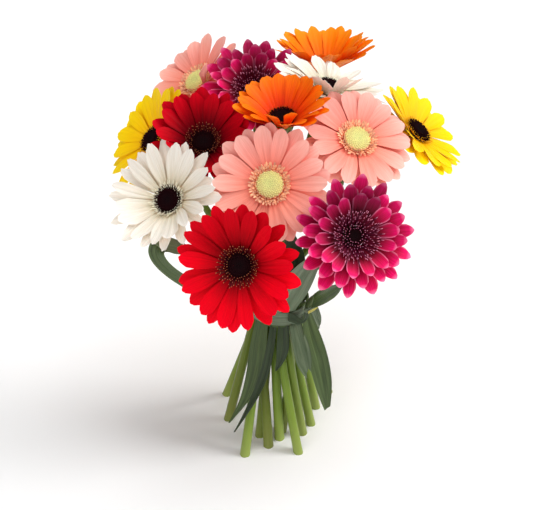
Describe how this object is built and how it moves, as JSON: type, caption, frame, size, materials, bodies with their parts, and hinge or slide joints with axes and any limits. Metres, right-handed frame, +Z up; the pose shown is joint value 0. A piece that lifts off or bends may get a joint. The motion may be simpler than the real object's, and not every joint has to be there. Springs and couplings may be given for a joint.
{
  "type": "gerbera bouquet",
  "caption": "Hand-tied bouquet of cut gerberas in mixed colours, bound with a long strap leaf and standing upright on its spread stem ends.",
  "frame": {"origin": "centre of the bounding box, at the floor under the cut stem ends", "axes": "+X to the right in the picture, +Y away from the viewer, +Z up"},
  "size_m": [0.3044, 0.3194, 0.3528],
  "materials": {
    "green_stem": "satin, fresh green stem",
    "strap_leaf": "satin, veined",
    "pale_leaf": "satin, veined, paler underside",
    "dark_leaf": "satin, veined",
    "red_petals": "matte",
    "dark_red_petals": "matte",
    "pink_petals": "matte",
    "magenta_petals": "matte",
    "white_petals": "matte",
    "orange_petals": "matte",
    "yellow_petals": "matte",
    "pale_disc": "matte, grainy",
    "dark_disc": "matte, grainy"
  },
  "bodies": {
    "root": {"red_front_stem": "green_stem", "red_front_disc": "dark_disc", "red_front_rays": "red_petals", "pink_mid_stem": "green_stem", "pink_mid_disc": "pale_disc", "pink_mid_rays": "pink_petals", "magenta_right_stem": "green_stem", "magenta_right_disc": "dark_disc", "magenta_right_rays": "magenta_petals", "pink_right_stem": "green_stem", "pink_right_disc": "pale_disc", "pink_right_rays": "pink_petals", "white_left_stem": "green_stem", "white_left_disc": "dark_disc", "white_left_rays": "white_petals", "red_dark_stem": "green_stem", "red_dark_disc": "dark_disc", "red_dark_rays": "dark_red_petals", "orange_mid_stem": "green_stem", "orange_mid_disc": "dark_disc", "orange_mid_rays": "orange_petals", "yellow_right_stem": "green_stem", "yellow_right_disc": "dark_disc", "yellow_right_rays": "yellow_petals", "yellow_left_stem": "green_stem", "yellow_left_disc": "dark_disc", "yellow_left_rays": "yellow_petals", "white_back_stem": "green_stem", "white_back_disc": "dark_disc", "white_back_rays": "white_petals", "magenta_back_stem": "green_stem", "magenta_back_disc": "dark_disc", "magenta_back_rays": "magenta_petals", "pink_back_stem": "green_stem", "pink_back_disc": "pale_disc", "pink_back_rays": "pink_petals", "orange_back_stem": "green_stem", "orange_back_disc": "dark_disc", "orange_back_rays": "orange_petals", "tie_band": "strap_leaf", "tie_knot": "dark_leaf", "leaf_loop": "strap_leaf", "leaf_broad": "pale_leaf", "leaf_fold": "strap_leaf", "tail_right": "strap_leaf", "tail_notched": "pale_leaf", "tail_small": "pale_leaf", "tail_left": "strap_leaf", "tail_dark": "dark_leaf", "tail_middle": "dark_leaf", "leaf_inner": "dark_leaf", "leaf_side": "dark_leaf"}
  },
  "joints": []
}
